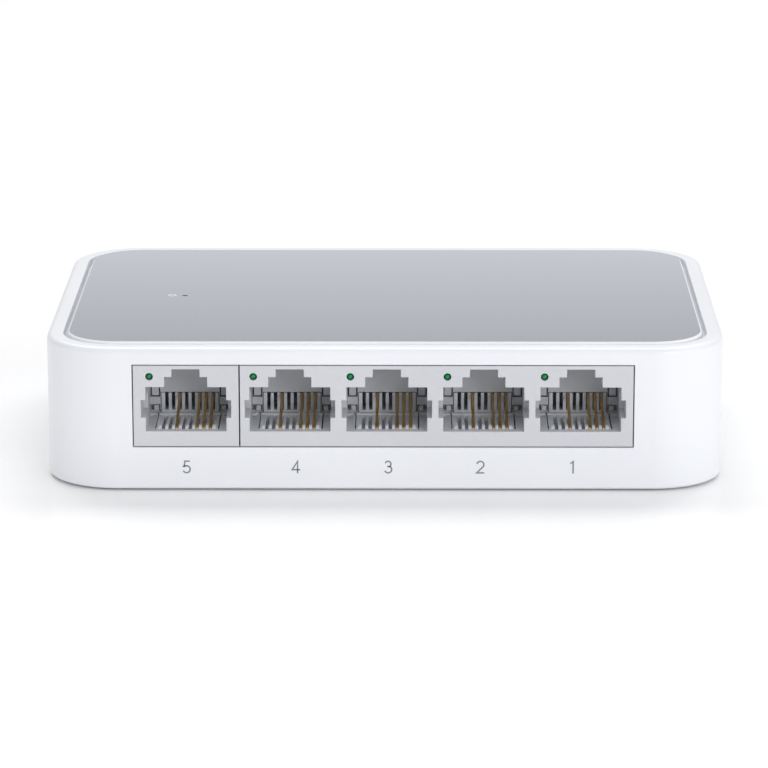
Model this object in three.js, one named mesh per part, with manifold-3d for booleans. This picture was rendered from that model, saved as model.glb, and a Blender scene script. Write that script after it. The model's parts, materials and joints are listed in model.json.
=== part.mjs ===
// A five-port desktop network switch, as an assembly of its separate pieces.
// Units are millimetres and +Z is up. X runs along the row of ports, the ports face -Y,
// and the origin is the centre of the footprint on the surface the switch stands on.
// Heights in this file are counted from the underside of the case. addPiece lifts every
// piece by the height the feet stand proud.
import * as THREE from 'three';
import { mergeVertices } from 'three/addons/utils/BufferGeometryUtils.js';
import Module from 'manifold-3d';

const wasm = await Module();
wasm.setup();

// ---------------------------------------------------------------- driving dimensions

// White moulded case: one shell with top and walls, closed below by a flush bottom cover.
const CASE = {
  width: 103.5,
  depth: 70,
  top: 22,
  corner: 11, // corner radius in plan
  wall: 1.8,
  topFillet: 0.9,
  baseFillet: 0.3,
  deck: 1, // thickness of the deck under the inlay
  deckTop: 20.7,
};

// Grey panel let into the top, inside the white rim.
const INLAY = { rim: 2.5, groove: 0.7, seatGap: 0.3, top: 22.25, chamfer: 0.25 };
const INLAY_PEG = { x: 30, y: 20, radius: 1.2, holeRadius: 1.55, length: 1.2 };

// Opening in the front wall that shows the faces of the port housings.
const WINDOW = { left: -38.1, right: 37.72, bottom: 6.55, top: 19.45, margin: 0.16 };

// Printed circuit board, carried on the bottom cover.
const BOARD = { halfWidth: 46.5, front: -32.6, back: 24, bottom: 4.8, thickness: 1.6, cutCorner: 6 };
const BOARD_TOP = BOARD.bottom + BOARD.thickness;
const BOARD_SCREW = {
  x: 38,
  y: 19,
  headRadius: 2.5,
  headHeight: 1.7,
  shankRadius: 1.2,
  holeRadius: 1.6,
  bossRootRadius: 3.2,
  bossTopRadius: 3,
  recessReach: 1.5, // half the length of the cross recess
  recessHalfWidth: 0.35,
};
const BOARD_STUD = { x: 42, y: -17, radius: 1.4, holeRadius: 1.8, shoulderRadius: 2.8, showing: 1 };

const GAP = 0.3; // clearance between neighbouring pieces
const PAST = 1; // how far a cutting shape runs past the skin it cuts
const SINK = 0.5; // how deep an added shape is sunk into the one it joins

// The ports. A single housing holds port 5 and a ganged housing holds ports 4 to 1.
const PORT_PITCH = 14.64; // between the ports of the ganged housing
const SINGLE_PORT_X = -29.98; // port 5
const GANGED_PORT_X = -14.27; // port 4
const JACK = { front: -34.9, rearWall: -24, back: -18.5, bottom: 6.71, top: 19.29 };
const JACK_SPLIT = { x: -21.9, gap: 0.2 };
const JACK_PEG = { y: -27.5, fromPort: 5.7, tipRadius: 1.2, radius: 1.5, holeRadius: 1.85, length: 2.6 };
const PORTS = [5, 4, 3, 2, 1].map((label, place) => ({
  label,
  x: place === 0 ? SINGLE_PORT_X : GANGED_PORT_X + (place - 1) * PORT_PITCH,
}));

// Outline of one plug opening: the main mouth, a two-step latch channel above it,
// and a shallow wing on each side.
const MOUTH = {
  half: 6.1,
  floor: 9.06,
  ceiling: 15.95,
  latchHalf: 3.25,
  latchTop: 17.52,
  keyHalf: 2.12,
  keyTop: 18.73,
  wingHalf: 6.83,
  wingLow: 11.17,
  wingHigh: 13.92,
  wingDepth: 6,
};
// Two blind pockets on each side of the rear wall, measured outwards from the port's middle.
// Each holds a stop, set back from the mouth of its pocket, that closes part of it.
const REAR_POCKETS = [
  { inner: 4.5, low: 11.57, high: 14.2, depth: 2.4, stop: { in: 0.28, out: 0.22, back: 0.2, rise: 0.2 } },
  { inner: 4.5, low: 9.4, high: 10.35, depth: 1.6, stop: { in: 0.3, out: 0.55, back: 0.25, rise: -0.2 } },
];
const STOP_ROOT = 0.2; // how deep a stop or rib is sunk into the housing's wall
const FLOOR_POCKET = { inner: 5.3, front: -26, depth: 0.5 };
const FLOOR_RIB = { front: -25.3, back: -24.5, height: 0.25 };

// Contact carrier: an L-shaped insert with a grooved floor and a comb at the rear.
const CONTACT_PITCH = 1.02;
const CONTACT_PLACES = 8;
const CARRIER = {
  floorHalf: 4.7,
  combHalf: 4.4,
  front: -33.3,
  back: -18.9,
  bottom: 7.5,
  combTop: 12.25,
  grooveWidth: 0.54,
  grooveFloor: 7.9,
  slotBottom: 9.5,
  slotDepth: 4.2,
  slotFront: -0.5, // from the rear wall, where the comb's slots start
  grooveEnd: -1.6, // from the rear wall, where the floor's grooves end
  toothBack: -31.5,
  toothHeight: 0.3,
  fit: { side: 0.15, right: 0.2, top: 0.1, rib: 0.35 }, // clearances to the housing
};

// Gold-plated spring wires. A fast-Ethernet port fits only pins 1, 2, 3 and 6.
const WIRE = { width: 0.44, thickness: 0.32, pins: [6, 3, 2, 1] };
// Centre line of a wire in the Y-Z plane, from its root under the front bend to its free end.
const WIRE_PATH = {
  pivot: [-32.65, 8.75], // the front bend, where the wire flexes
  bendRadius: 0.45,
  slope: THREE.MathUtils.degToRad(18.5),
  root: 0.6, // length of the root under the bend
  freeEndY: -23.6,
  tip: 0.7, // length of the level end
};

// Lamp in the upper left corner of each port's face.
const PORT_LED = { offsetX: -5.5, z: 17.57, radius: 0.5, holeRadius: 0.58, setBack: 0.15, length: 6.4 };

// Direct-current inlet in the left side wall, for a 3.5 mm barrel plug.
const INLET = {
  y: -6,
  z: 9.6,
  nose: -51.5,
  front: -49.6,
  back: -39,
  halfWidth: 3.2,
  top: 12.4,
  noseRadius: 2.9,
  wallHole: 3.2,
  bore: 2,
  boreEnd: -42.6,
  pinRadius: 0.65,
  pinTip: -50.6,
};
const LEAF = {
  pivotX: -42.2,
  tipX: -48.6,
  y: -3.5,
  thickness: 0.3,
  halfHeight: 0.6,
  bump: 0.85, // how far the bend stands into the bore
  slotSpare: 0.4,
};

// Power lamp: a surface-mounted diode on the board and a clear pipe up to the top panel.
const POWER_LAMP = {
  x: -31.9,
  y: -1.4,
  height: 0.6,
  pipeRadius: 0.37,
  pipeSetBack: 0.02, // from the face of the panel down to the end of the pipe
  inlayHole: 0.42,
  deckHole: 0.7,
};

const FEET = { x: 40, y: 23, radius: 4, bevel: 0.3, recessRadius: 4.3, recess: 0.8, proud: 0.3 };
const VENTS = { banks: [-20, 20], count: 8, pitch: 3.8, width: 1.8, length: 16, y: 1 };
const HOOK = {
  width: 6,
  arm: 1.2,
  armInset: 1,
  barb: 0.7,
  catchZ: 7,
  tipZ: 8.6,
  ledgeReach: 0.75,
  ledgeHeight: 1.4,
};
const POSTS = [
  [-42, -24],
  [42, -24],
  [-43.5, 12],
  [43.5, 12],
];
const POST = { tipRadius: 1.6, rootRadius: 1.8 };

// ---------------------------------------------------------------- shapes and solids

// A closed three.js geometry as a solid that can be cut and joined.
function solid(geometry) {
  const bare = geometry.index ? geometry.toNonIndexed() : geometry.clone();
  bare.deleteAttribute('normal');
  bare.deleteAttribute('uv');
  const merged = mergeVertices(bare, 1e-4);
  return new wasm.Manifold(
    new wasm.Mesh({
      numProp: 3,
      vertProperties: new Float32Array(merged.attributes.position.array),
      triVerts: new Uint32Array(merged.index.array),
    }),
  );
}

// A solid as a three.js geometry with flat faces.
function geometryOf(body) {
  const { vertProperties, triVerts } = body.getMesh();
  const indexed = new THREE.BufferGeometry();
  indexed.setAttribute('position', new THREE.BufferAttribute(new Float32Array(vertProperties), 3));
  indexed.setIndex(new THREE.BufferAttribute(new Uint32Array(triVerts), 1));
  const faceted = indexed.toNonIndexed();
  faceted.computeVertexNormals();
  return faceted;
}

const join = (first, ...rest) => rest.reduce((sum, body) => sum.add(body), first);
const cut = (first, ...rest) => rest.reduce((left, body) => left.subtract(body), first);

// A box between two corners.
function block([x0, x1], [y0, y1], [z0, z1]) {
  const box = new THREE.BoxGeometry(x1 - x0, y1 - y0, z1 - z0);
  box.translate((x0 + x1) / 2, (y0 + y1) / 2, (z0 + z1) / 2);
  return solid(box);
}

// An upright rod, or a tapered one.
function rodZ(x, y, [z0, z1], radius, sides = 16, topRadius = radius) {
  const rod = new THREE.CylinderGeometry(topRadius, radius, z1 - z0, sides);
  rod.rotateX(Math.PI / 2);
  rod.translate(x, y, (z0 + z1) / 2);
  return solid(rod);
}

// A rod along X.
function rodX([x0, x1], y, z, radius, sides = 24) {
  const rod = new THREE.CylinderGeometry(radius, radius, x1 - x0, sides);
  rod.rotateZ(Math.PI / 2);
  rod.translate((x0 + x1) / 2, y, z);
  return solid(rod);
}

// A rod along Y.
function rodY(x, [y0, y1], z, radius, sides = 16) {
  const rod = new THREE.CylinderGeometry(radius, radius, y1 - y0, sides);
  rod.translate(x, (y0 + y1) / 2, z);
  return solid(rod);
}

// An outline drawn in X and Z, run along Y.
function prismY(outline, [y0, y1]) {
  const shape = new THREE.Shape(outline.map(([x, z]) => new THREE.Vector2(x, z)));
  const prism = new THREE.ExtrudeGeometry(shape, { depth: y1 - y0, bevelEnabled: false });
  prism.rotateX(Math.PI / 2);
  prism.translate(0, y1, 0);
  return solid(prism);
}

// An outline drawn in Y and Z, run along X.
function prismX(outline, [x0, x1]) {
  const shape = new THREE.Shape(outline.map(([y, z]) => new THREE.Vector2(y, z)));
  const prism = new THREE.ExtrudeGeometry(shape, { depth: x1 - x0, bevelEnabled: false });
  // Shape axes (first, second, depth) become (Y, Z, X).
  prism.applyMatrix4(new THREE.Matrix4().set(0, 0, 1, x0, 1, 0, 0, 0, 0, 1, 0, 0, 0, 0, 0, 1));
  return solid(prism);
}

// An outline drawn in X and Y, run along Z.
function prismZ(outline, [z0, z1]) {
  const shape = new THREE.Shape(outline.map(([x, y]) => new THREE.Vector2(x, y)));
  const prism = new THREE.ExtrudeGeometry(shape, { depth: z1 - z0, bevelEnabled: false });
  prism.translate(0, 0, z0);
  return solid(prism);
}

// The case's plan outline, inset by a distance, as a level ring of points.
function caseRing(inset, z, stepsPerCorner = 10) {
  const radius = CASE.corner - inset;
  const centreX = CASE.width / 2 - CASE.corner;
  const centreY = CASE.depth / 2 - CASE.corner;
  const ring = [];
  for (const [quarter, signX, signY] of [
    [0, 1, 1],
    [1, -1, 1],
    [2, -1, -1],
    [3, 1, -1],
  ]) {
    for (let step = 0; step <= stepsPerCorner; step += 1) {
      const turn = (quarter + step / stepsPerCorner) * (Math.PI / 2);
      ring.push(
        new THREE.Vector3(
          signX * centreX + radius * Math.cos(turn),
          signY * centreY + radius * Math.sin(turn),
          z,
        ),
      );
    }
  }
  return ring;
}

// A closed skin through level rings, listed from the lowest to the highest.
function loft(rings) {
  const perRing = rings[0].length;
  const points = rings.flat();
  const bottomCentre = points.length;
  const topCentre = bottomCentre + 1;
  points.push(new THREE.Vector3(0, 0, rings[0][0].z));
  points.push(new THREE.Vector3(0, 0, rings.at(-1)[0].z));
  const lastRing = (rings.length - 1) * perRing;
  const triangles = [];
  for (let i = 0; i < perRing; i += 1) {
    const next = (i + 1) % perRing;
    for (let level = 0; level < rings.length - 1; level += 1) {
      const low = level * perRing;
      const high = low + perRing;
      triangles.push(low + i, low + next, high + next);
      triangles.push(low + i, high + next, high + i);
    }
    triangles.push(bottomCentre, next, i);
    triangles.push(topCentre, lastRing + i, lastRing + next);
  }
  const skin = new THREE.BufferGeometry().setFromPoints(points);
  skin.setIndex(triangles);
  return solid(skin);
}

// A plain slab with the case's plan outline, inset by a distance.
const slab = (inset, [z0, z1]) => loft([caseRing(inset, z0), caseRing(inset, z1)]);

// Insets and heights down a rounded edge, from the wall to the flat.
function roundedEdge(radius, steps) {
  return Array.from({ length: steps + 1 }, (_, step) => {
    const turn = (step / steps) * (Math.PI / 2);
    return { inset: radius * (1 - Math.cos(turn)), rise: radius * Math.sin(turn) };
  });
}

// ---------------------------------------------------------------- the assembly

const networkSwitch = new THREE.Group();
networkSwitch.name = 'desktop_network_switch';

const COLOURS = {
  whiteCase: { color: 0xeceef4, roughness: 0.35, metalness: 0 },
  greyInlay: { color: 0xb4b8c1, roughness: 0.45, metalness: 0 },
  jackPlastic: { color: 0xcfd1d6, roughness: 0.5, metalness: 0 },
  carrierPlastic: { color: 0x9a9ea4, roughness: 0.5, metalness: 0 },
  gold: { color: 0xb08a45, roughness: 0.3, metalness: 1 },
  steel: { color: 0xb8babd, roughness: 0.3, metalness: 1 },
  greenLens: { color: 0x107844, roughness: 0.25, metalness: 0 },
  clearLens: { color: 0x3b3f45, roughness: 0.2, metalness: 0 },
  rubber: { color: 0x8c8f94, roughness: 0.8, metalness: 0 },
  board: { color: 0x1d5a3a, roughness: 0.45, metalness: 0 },
  blackPart: { color: 0x1d1e20, roughness: 0.5, metalness: 0 },
};

// Adds one piece to the switch as a mesh with a material of its own, lifted onto the feet.
function addPiece(name, body, look) {
  const geometry = geometryOf(body).translate(0, 0, FEET.proud);
  const mesh = new THREE.Mesh(geometry, new THREE.MeshStandardMaterial(look));
  mesh.name = name;
  networkSwitch.add(mesh);
}

// ---- case

// The six places round the inner wall where the bottom cover snaps into the top cover.
// Each is given by its centre along the wall, and by how a point (along, out, z), with out
// measured from the inner wall towards the inside, is turned into X and Y.
const innerX = CASE.width / 2 - CASE.wall;
const innerY = CASE.depth / 2 - CASE.wall;
const SNAPS = [
  ...[-1, 1].flatMap((side) =>
    [-19, 17].map((along) => ({ along, place: (a, out) => [side * (innerX - out), a] })),
  ),
  ...[-26, 26].map((along) => ({ along, place: (a, out) => [a, innerY - out] })),
];

// A box given in a snap's own directions.
function snapBlock(snap, halfWidth, [out0, out1], heights) {
  const [xa, ya] = snap.place(snap.along - halfWidth, out0);
  const [xb, yb] = snap.place(snap.along + halfWidth, out1);
  return block([Math.min(xa, xb), Math.max(xa, xb)], [Math.min(ya, yb), Math.max(ya, yb)], heights);
}

function topCover() {
  const outside = loft([
    caseRing(CASE.baseFillet, 0),
    caseRing(0, CASE.baseFillet),
    ...roundedEdge(CASE.topFillet, 4).map(({ inset, rise }) =>
      caseRing(inset, CASE.top - CASE.topFillet + rise),
    ),
  ]);
  const deckUnder = CASE.deckTop - CASE.deck;
  const inside = slab(CASE.wall, [-PAST, deckUnder]);
  const recess = slab(INLAY.rim, [CASE.deckTop, CASE.top + PAST]);
  const window = block(
    [WINDOW.left, WINDOW.right],
    [-CASE.depth / 2 - PAST, -innerY + PAST],
    [WINDOW.bottom, WINDOW.top],
  );
  const inletHole = rodX([-CASE.width / 2 - PAST, -innerX + PAST], INLET.y, INLET.z, INLET.wallHole);
  const throughDeck = [deckUnder - PAST, CASE.deckTop + PAST];
  const lampHole = rodZ(POWER_LAMP.x, POWER_LAMP.y, throughDeck, POWER_LAMP.deckHole);
  const pegHoles = cornersOf(INLAY_PEG).map(([x, y]) => rodZ(x, y, throughDeck, INLAY_PEG.holeRadius, 12));
  // Ledges on the inner wall that the bottom cover's hooks catch on.
  const ledgeTop = HOOK.catchZ - GAP;
  const ledges = SNAPS.map((snap) =>
    snapBlock(
      snap,
      HOOK.width / 2 + 1,
      [-SINK, HOOK.ledgeReach],
      [ledgeTop - HOOK.ledgeHeight, ledgeTop],
    ),
  );
  // Tapered posts under the deck that hold the board down.
  const posts = POSTS.map(([x, y]) =>
    rodZ(x, y, [BOARD_TOP + GAP, deckUnder + SINK], POST.tipRadius, 12, POST.rootRadius),
  );
  const shell = join(cut(outside, inside), ...ledges, ...posts);
  return cut(shell, recess, window, inletHole, lampHole, ...pegHoles);
}

// The four mirrored places of a feature.
function cornersOf({ x, y }) {
  return [
    [-x, -y],
    [x, -y],
    [-x, y],
    [x, y],
  ];
}

function topInlay() {
  const inset = INLAY.rim + INLAY.groove;
  const seat = CASE.deckTop + INLAY.seatGap;
  const panel = loft([
    caseRing(inset, seat),
    caseRing(inset, INLAY.top - INLAY.chamfer),
    caseRing(inset + INLAY.chamfer, INLAY.top),
  ]);
  const pegs = cornersOf(INLAY_PEG).map(([x, y]) =>
    rodZ(x, y, [seat - INLAY_PEG.length, seat + SINK], INLAY_PEG.radius, 12),
  );
  const throughPanel = [seat - PAST, INLAY.top + PAST];
  const lampHole = rodZ(POWER_LAMP.x, POWER_LAMP.y, throughPanel, POWER_LAMP.inlayHole);
  return cut(join(panel, ...pegs), lampHole);
}

function bottomCover() {
  const inset = CASE.wall + GAP;
  const plateTop = CASE.wall;
  const plate = loft([
    caseRing(inset + CASE.baseFillet, 0),
    caseRing(inset, CASE.baseFillet),
    caseRing(inset, plateTop),
  ]);
  const hooks = SNAPS.flatMap((snap) => {
    const thickness = [HOOK.armInset, HOOK.armInset + HOOK.arm];
    const arm = snapBlock(snap, HOOK.width / 2, thickness, [plateTop - SINK, HOOK.tipZ]);
    return [arm, hookBarb(snap)];
  });
  const underBoard = [plateTop - SINK, BOARD.bottom - GAP];
  const bosses = [-BOARD_SCREW.x, BOARD_SCREW.x].map((x) =>
    rodZ(x, BOARD_SCREW.y, underBoard, BOARD_SCREW.bossRootRadius, 16, BOARD_SCREW.bossTopRadius),
  );
  const studs = [-BOARD_STUD.x, BOARD_STUD.x].flatMap((x) => [
    rodZ(x, BOARD_STUD.y, underBoard, BOARD_STUD.shoulderRadius, 16),
    rodZ(x, BOARD_STUD.y, [plateTop, BOARD_TOP + BOARD_STUD.showing], BOARD_STUD.radius, 16),
  ]);
  const pilots = [-BOARD_SCREW.x, BOARD_SCREW.x].map((x) =>
    rodZ(x, BOARD_SCREW.y, [plateTop, BOARD.bottom + PAST], BOARD_SCREW.shankRadius + GAP, 16),
  );
  const footRecesses = cornersOf(FEET).map(([x, y]) =>
    rodZ(x, y, [-PAST, FEET.recess], FEET.recessRadius, 20),
  );
  const vents = VENTS.banks.flatMap((bank) =>
    Array.from({ length: VENTS.count }, (_, i) => {
      const x = bank + (i - (VENTS.count - 1) / 2) * VENTS.pitch;
      return ventSlot(x);
    }),
  );
  return cut(join(plate, ...hooks, ...bosses, ...studs), ...pilots, ...footRecesses, ...vents);
}

// A through slot with half-round ends.
function ventSlot(x) {
  const radius = VENTS.width / 2;
  const reach = VENTS.length / 2 - radius;
  const outline = [];
  for (const [end, start] of [
    [1, 0],
    [-1, Math.PI],
  ]) {
    for (let step = 0; step <= 3; step += 1) {
      const turn = start + (step / 3) * Math.PI;
      outline.push([x + radius * Math.cos(turn), VENTS.y + end * reach + radius * Math.sin(turn)]);
    }
  }
  return prismZ(outline, [-PAST, CASE.wall + PAST]);
}

// The wedge at a hook's tip that catches over the top cover's ledge.
function hookBarb(snap) {
  const root = HOOK.armInset + 0.4;
  const tip = HOOK.armInset - HOOK.barb;
  const outline = [
    [root, HOOK.catchZ],
    [tip, HOOK.catchZ],
    [tip, HOOK.catchZ + 0.3],
    [HOOK.armInset + 0.2, HOOK.tipZ],
    [root, HOOK.tipZ],
  ];
  const alongX = Math.abs(snap.place(0, 0)[1]) > 1;
  const half = HOOK.width / 2;
  if (alongX) {
    const points = outline.map(([out, z]) => [snap.place(0, out)[1], z]);
    return prismX(facingOut(points), [snap.along - half, snap.along + half]);
  }
  const points = outline.map(([out, z]) => [snap.place(0, out)[0], z]);
  return prismY(facingOut(points), [snap.along - half, snap.along + half]);
}

// An outline in anticlockwise order.
function facingOut(points) {
  const area = THREE.ShapeUtils.area(points.map(([a, b]) => new THREE.Vector2(a, b)));
  return area < 0 ? [...points].reverse() : points;
}

function addCase() {
  addPiece('top_cover', topCover(), COLOURS.whiteCase);
  addPiece('top_inlay', topInlay(), COLOURS.greyInlay);
  addPiece('bottom_cover', bottomCover(), COLOURS.whiteCase);
  const names = ['front_left', 'front_right', 'rear_left', 'rear_right'];
  cornersOf(FEET).forEach(([x, y], i) => {
    const bevelTop = FEET.bevel - FEET.proud;
    const foot = join(
      rodZ(x, y, [-FEET.proud, bevelTop], FEET.radius - FEET.bevel, 20, FEET.radius),
      rodZ(x, y, [bevelTop - 0.05, FEET.recess - GAP], FEET.radius, 20),
    );
    addPiece(`rubber_foot_${names[i]}`, foot, COLOURS.rubber);
  });
}

// ---- board

function mainBoard() {
  const { halfWidth: w, front, back, cutCorner: c } = BOARD;
  const outline = [
    [-w + c, front],
    [w - c, front],
    [w, front + c],
    [w, back - 1],
    [w - 1, back],
    [-w + 1, back],
    [-w, back - 1],
    [-w, front + c],
  ];
  const through = [BOARD.bottom - PAST, BOARD_TOP + PAST];
  const holes = [
    ...[-BOARD_SCREW.x, BOARD_SCREW.x].map((x) =>
      rodZ(x, BOARD_SCREW.y, through, BOARD_SCREW.holeRadius, 16),
    ),
    ...[-BOARD_STUD.x, BOARD_STUD.x].map((x) => rodZ(x, BOARD_STUD.y, through, BOARD_STUD.holeRadius, 16)),
    ...jackPegPlaces().map((x) => rodZ(x, JACK_PEG.y, through, JACK_PEG.holeRadius, 16)),
  ];
  return cut(prismZ(outline, [BOARD.bottom, BOARD_TOP]), ...holes);
}

// A pan-headed screw, standing in its boss with its head just over the board.
function boardScrew(x) {
  const { y, headRadius: head, headHeight, shankRadius: shank } = BOARD_SCREW;
  const { recessReach: reach, recessHalfWidth: blade } = BOARD_SCREW;
  const seat = BOARD_TOP + GAP;
  const tip = CASE.wall + 0.8;
  const profile = [
    [0, tip],
    [shank * 0.5, tip],
    [shank, tip + 0.8],
    [shank, seat],
    [head, seat],
    [head, seat + headHeight * 0.35],
    [head * 0.75, seat + headHeight * 0.82],
    [0, seat + headHeight],
  ].map(([r, z]) => new THREE.Vector2(r, z));
  const turned = new THREE.LatheGeometry(profile, 12);
  turned.rotateX(Math.PI / 2);
  turned.translate(x, y, 0);
  const recess = [seat + headHeight * 0.4, seat + headHeight + PAST];
  return cut(
    solid(turned),
    block([x - reach, x + reach], [y - blade, y + blade], recess),
    block([x - blade, x + blade], [y - reach, y + reach], recess),
  );
}

// A packaged circuit with a row of leads along its two long sides, or along all four.
function packagedCircuit([x, y], [sizeX, sizeY, height], leads) {
  const low = BOARD_TOP + GAP;
  const bodyX = [x - sizeX / 2, x + sizeX / 2];
  const bodyY = [y - sizeY / 2, y + sizeY / 2];
  const body = block(bodyX, bodyY, [low + 0.1, low + height]);
  const legs = [];
  for (let i = 0; i < leads.count; i += 1) {
    const along = (i - (leads.count - 1) / 2) * leads.pitch;
    const acrossX = [x + along - leads.pitch * 0.2, x + along + leads.pitch * 0.2];
    const acrossY = [y + along - leads.pitch * 0.2, y + along + leads.pitch * 0.2];
    for (const side of [-1, 1]) {
      const outY = [y + side * (sizeY / 2 - 0.3), y + side * (sizeY / 2 + 1)];
      legs.push(block(acrossX, outY.sort((a, b) => a - b), [low, low + 0.3]));
      if (leads.fourSides) {
        const outX = [x + side * (sizeX / 2 - 0.3), x + side * (sizeX / 2 + 1)];
        legs.push(block(outX.sort((a, b) => a - b), acrossY, [low, low + 0.3]));
      }
    }
  }
  return join(body, ...legs);
}

// An upright can with a rolled groove near its foot.
function electrolyticCapacitor([x, y], radius, height) {
  const low = BOARD_TOP + GAP;
  const profile = [
    [0, 0],
    [radius, 0],
    [radius, 0.8],
    [radius * 0.88, 1.2],
    [radius, 1.6],
    [radius, height - 0.4],
    [radius - 0.4, height],
    [0, height],
  ].map(([r, z]) => new THREE.Vector2(r, z));
  const can = new THREE.LatheGeometry(profile, 16);
  can.rotateX(Math.PI / 2);
  can.translate(x, y, low);
  return solid(can);
}

// A crystal's low can with half-round ends.
function crystalCan([x, y]) {
  const low = BOARD_TOP + GAP;
  const half = 3.2;
  const radius = 2.3;
  return join(
    block([x - half, x + half], [y - radius, y + radius], [low, low + 3.4]),
    rodZ(x - half, y, [low, low + 3.4], radius, 16),
    rodZ(x + half, y, [low, low + 3.4], radius, 16),
  );
}

// A shielded power inductor: a square body with cut corners.
function inductorBlock([x, y]) {
  const low = BOARD_TOP + GAP;
  const half = 3;
  const cutBack = 1.8;
  const outline = [
    [x - half, y - cutBack],
    [x - cutBack, y - half],
    [x + cutBack, y - half],
    [x + half, y - cutBack],
    [x + half, y + cutBack],
    [x + cutBack, y + half],
    [x - cutBack, y + half],
    [x - half, y + cutBack],
  ];
  return prismZ(outline, [low, low + 3]);
}

function addBoard() {
  addPiece('main_board', mainBoard(), COLOURS.board);
  addPiece('board_screw_left', boardScrew(-BOARD_SCREW.x), COLOURS.steel);
  addPiece('board_screw_right', boardScrew(BOARD_SCREW.x), COLOURS.steel);
  addPiece(
    'switch_chip',
    packagedCircuit([6, 8], [14, 14, 1.5], { count: 8, pitch: 1.6, fourSides: true }),
    COLOURS.blackPart,
  );
  addPiece(
    'magnetics_ganged',
    packagedCircuit([8, -9.5], [28, 9.5, 5.6], { count: 10, pitch: 2.54, fourSides: false }),
    COLOURS.blackPart,
  );
  addPiece(
    'magnetics_single',
    packagedCircuit([-20, -9.5], [12.7, 9.5, 5.6], { count: 5, pitch: 2.54, fourSides: false }),
    COLOURS.blackPart,
  );
  addPiece(
    'voltage_regulator',
    packagedCircuit([-20, 14], [6.5, 3.5, 1.7], { count: 3, pitch: 2.3, fourSides: false }),
    COLOURS.blackPart,
  );
  addPiece('power_inductor', inductorBlock([-30, 10]), COLOURS.blackPart);
  addPiece('input_capacitor', electrolyticCapacitor([-39, 4], 3.15, 7), COLOURS.steel);
  addPiece('output_capacitor', electrolyticCapacitor([-12, 6], 2.5, 5.4), COLOURS.steel);
  addPiece('clock_crystal', crystalCan([24, 10]), COLOURS.steel);
}

// ---- ports

const jackLeft = WINDOW.left + WINDOW.margin;
const jackRight = WINDOW.right - WINDOW.margin;
const singleRight = JACK_SPLIT.x - JACK_SPLIT.gap / 2;
const gangedLeft = JACK_SPLIT.x + JACK_SPLIT.gap / 2;

// Locating pegs under the housings: two under the single one and three under the ganged one.
function jackPegPlaces() {
  const out = JACK_PEG.fromPort;
  const single = [-out, out].map((offset) => SINGLE_PORT_X + offset);
  const ganged = [-out, 1.5 * PORT_PITCH, 3 * PORT_PITCH + out].map((offset) => GANGED_PORT_X + offset);
  return [...single, ...ganged];
}

// The front outline of one plug opening.
function mouthOutline(x) {
  const m = MOUTH;
  const right = [
    [m.half, m.floor],
    [m.half, m.ceiling],
    [m.latchHalf, m.ceiling],
    [m.latchHalf, m.latchTop],
    [m.keyHalf, m.latchTop],
    [m.keyHalf, m.keyTop],
  ];
  const left = right.map(([dx, z]) => [-dx, z]).reverse();
  return [...right, ...left].map(([dx, z]) => [x + dx, z]);
}

// What is cut from a housing for one port.
function portCuts(x) {
  const m = MOUTH;
  const fit = CARRIER.fit;
  const open = JACK.front - PAST;
  const lampEnd = JACK.front + PORT_LED.setBack + PORT_LED.length + GAP;
  const cuts = [
    prismY(mouthOutline(x), [open, JACK.rearWall]),
    block([x - m.wingHalf, x + m.wingHalf], [open, JACK.front + m.wingDepth], [m.wingLow, m.wingHigh]),
    // The seat of the contact carrier, open to the rear and a little wider on the right.
    block(
      [x - CARRIER.floorHalf - fit.side, x + CARRIER.floorHalf + fit.right],
      [CARRIER.front - fit.side, JACK.rearWall],
      [CARRIER.bottom - GAP, m.floor + fit.top],
    ),
    block(
      [x - CARRIER.combHalf - fit.top, x + CARRIER.combHalf + fit.top],
      [JACK.rearWall - fit.top, JACK.back + PAST],
      [CARRIER.bottom - GAP, CARRIER.combTop + fit.top],
    ),
    rodY(x + PORT_LED.offsetX, [open, lampEnd], PORT_LED.z, PORT_LED.holeRadius),
  ];
  for (const side of [-1, 1]) {
    for (const pocket of REAR_POCKETS) {
      cuts.push(
        block(
          spanOf(x, side, pocket.inner + fit.top, m.half),
          [JACK.rearWall - fit.top, JACK.rearWall + pocket.depth],
          [pocket.low, pocket.high],
        ),
      );
    }
    cuts.push(
      block(
        spanOf(x, side, FLOOR_POCKET.inner, m.half),
        [FLOOR_POCKET.front, JACK.rearWall],
        [m.floor - FLOOR_POCKET.depth, m.floor + PAST],
      ),
    );
  }
  return cuts;
}

// The X span between two distances from a port's middle, on one side of it.
function spanOf(x, side, near, far) {
  return side < 0 ? [x - far, x - near] : [x + near, x + far];
}

// What is added back inside one port: stops in the pockets and the low rib across the floor.
function portAdditions(x) {
  const m = MOUTH;
  const additions = [];
  for (const side of [-1, 1]) {
    for (const { inner, low, high, depth, stop } of REAR_POCKETS) {
      additions.push(
        block(
          spanOf(x, side, inner + stop.in, m.half - stop.out),
          [JACK.rearWall + stop.back, JACK.rearWall + depth + STOP_ROOT],
          [low + stop.rise, high + stop.rise],
        ),
      );
    }
    additions.push(
      block(
        spanOf(x, side, CARRIER.floorHalf + CARRIER.fit.rib, m.half + STOP_ROOT),
        [FLOOR_RIB.front, FLOOR_RIB.back],
        [m.floor - FLOOR_POCKET.depth - SINK, m.floor + FLOOR_RIB.height],
      ),
    );
  }
  return additions;
}

function jackHousing([left, right], ports, pegs) {
  const body = block([left, right], [JACK.front, JACK.back], [JACK.bottom, JACK.top]);
  const pegSpan = [JACK.bottom - JACK_PEG.length, JACK.bottom + STOP_ROOT];
  const legs = pegs.map((x) => rodZ(x, JACK_PEG.y, pegSpan, JACK_PEG.tipRadius, 8, JACK_PEG.radius));
  const cuts = ports.flatMap(({ x }) => portCuts(x));
  const additions = ports.flatMap(({ x }) => portAdditions(x));
  return join(cut(join(body, ...legs), ...cuts), ...additions);
}

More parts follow.
